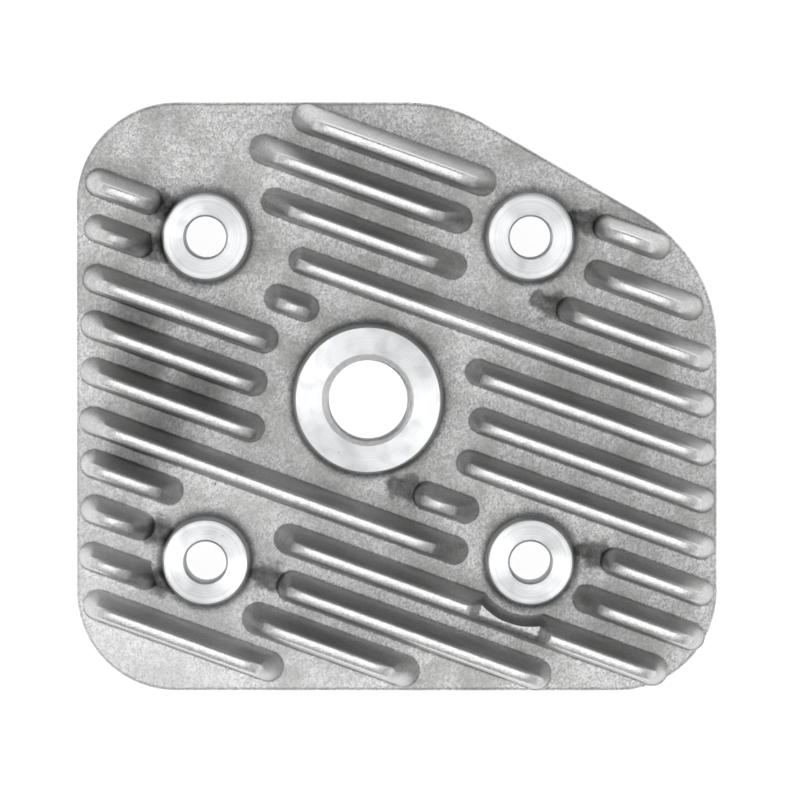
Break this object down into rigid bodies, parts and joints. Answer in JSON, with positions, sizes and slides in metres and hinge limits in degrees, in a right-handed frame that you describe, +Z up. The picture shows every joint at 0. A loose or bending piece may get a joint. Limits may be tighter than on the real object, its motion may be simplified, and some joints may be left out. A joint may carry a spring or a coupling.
{
  "type": "cylinder head",
  "caption": "Air-cooled two-stroke cylinder head in cast aluminium, with slanted cooling fins on a plate, a central spark plug boss, stud bosses and a domed chamber below.",
  "frame": {"origin": "under the middle of the outline, on the gasket face", "axes": "+X along the longer side, towards the cut rear corner's side; +Y towards the rear edge; +Z up the spark plug's axis, out of the fins"},
  "size_m": [0.1028, 0.0944, 0.028],
  "materials": {
    "cast_floor": "grainy sand-cast",
    "cast_fins": "smooth as-cast",
    "machined": "turned and faced, fine tool marks"
  },
  "bodies": {
    "root": {"base_plate": "cast_floor", "gasket_pad": "machined", "plug_boss": "machined", "stud_boss_front_left": "machined", "stud_boss_front_right": "machined", "stud_boss_rear_left": "machined", "stud_boss_rear_right": "machined", "fin_01": "cast_fins", "fin_02_left": "cast_fins", "fin_02_right": "cast_fins", "fin_03_left": "cast_fins", "fin_03_right": "cast_fins", "fin_04_left": "cast_fins", "fin_04_right": "cast_fins", "fin_05_left": "cast_fins", "fin_05_right": "cast_fins", "fin_06_left": "cast_fins", "fin_06_middle": "cast_fins", "fin_06_right": "cast_fins", "fin_07_left": "cast_fins", "fin_07_right": "cast_fins", "fin_08_left": "cast_fins", "fin_08_right": "cast_fins", "fin_09_left": "cast_fins", "fin_09_middle": "cast_fins", "fin_09_right": "cast_fins", "fin_10_left": "cast_fins", "fin_10_right": "cast_fins", "fin_11_left": "cast_fins", "fin_11_right": "cast_fins", "fin_12_left": "cast_fins", "fin_12_right": "cast_fins", "fin_13_left": "cast_fins", "fin_13_right": "cast_fins"}
  },
  "joints": []
}
